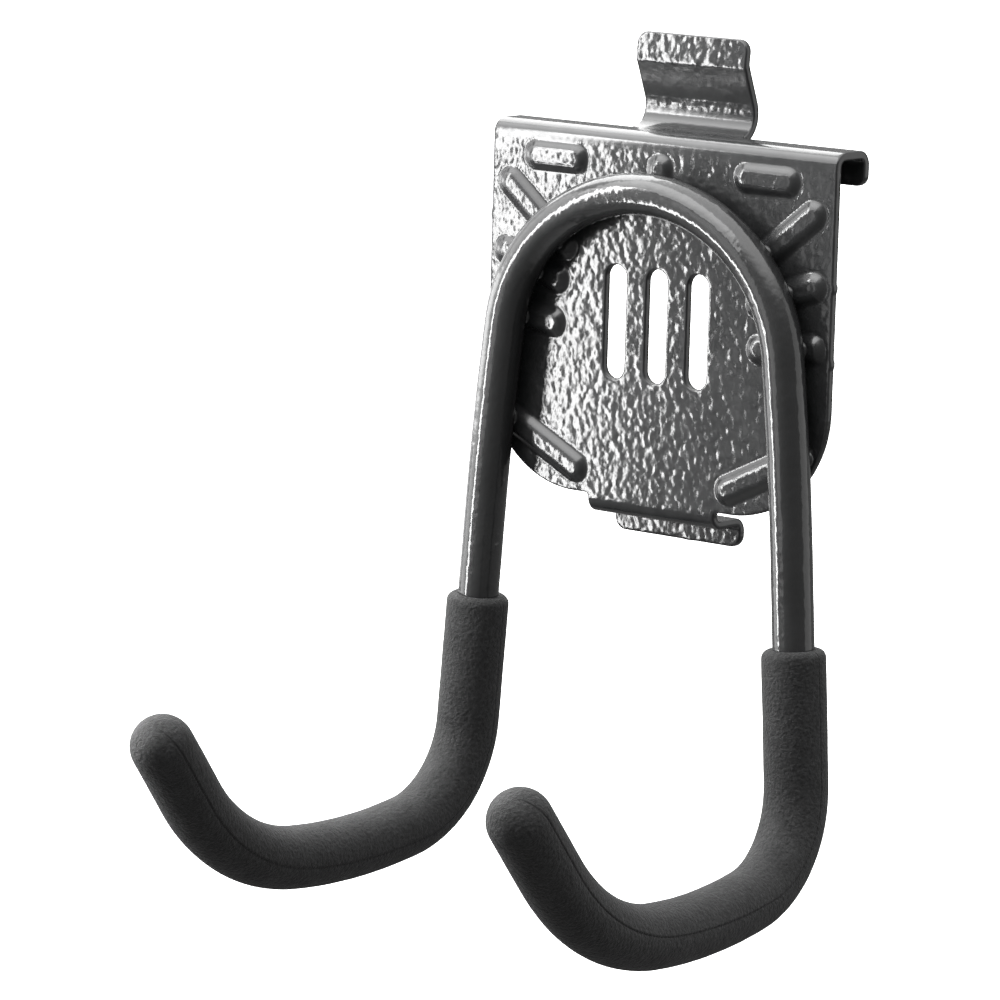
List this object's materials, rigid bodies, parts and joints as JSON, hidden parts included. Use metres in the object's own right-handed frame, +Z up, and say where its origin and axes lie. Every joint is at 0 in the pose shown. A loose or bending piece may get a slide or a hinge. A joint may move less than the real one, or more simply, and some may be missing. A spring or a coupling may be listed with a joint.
{
  "type": "twin-arm storage hook",
  "caption": "Wall-track storage hook: pressed steel back plate with folded lips, one bent round bar making a pair of J hooks, and closed-end rubber grips.",
  "frame": {"origin": "hang line: middle of the plate's width, in the plane of its back face, at the underside of its top flange", "axes": "+X to the right seen from the front, +Y back into the wall, +Z up"},
  "size_m": [0.1208, 0.1346, 0.201],
  "materials": {
    "hammered_coat": "glossy hammered powder coat",
    "smooth_coat": "glossy powder coat",
    "grip_rubber": "matte moulded rubber"
  },
  "bodies": {
    "root": {"back_plate": "hammered_coat", "hook_bar": "smooth_coat", "rod_welds": "smooth_coat", "left_grip": "grip_rubber", "right_grip": "grip_rubber"}
  },
  "joints": []
}
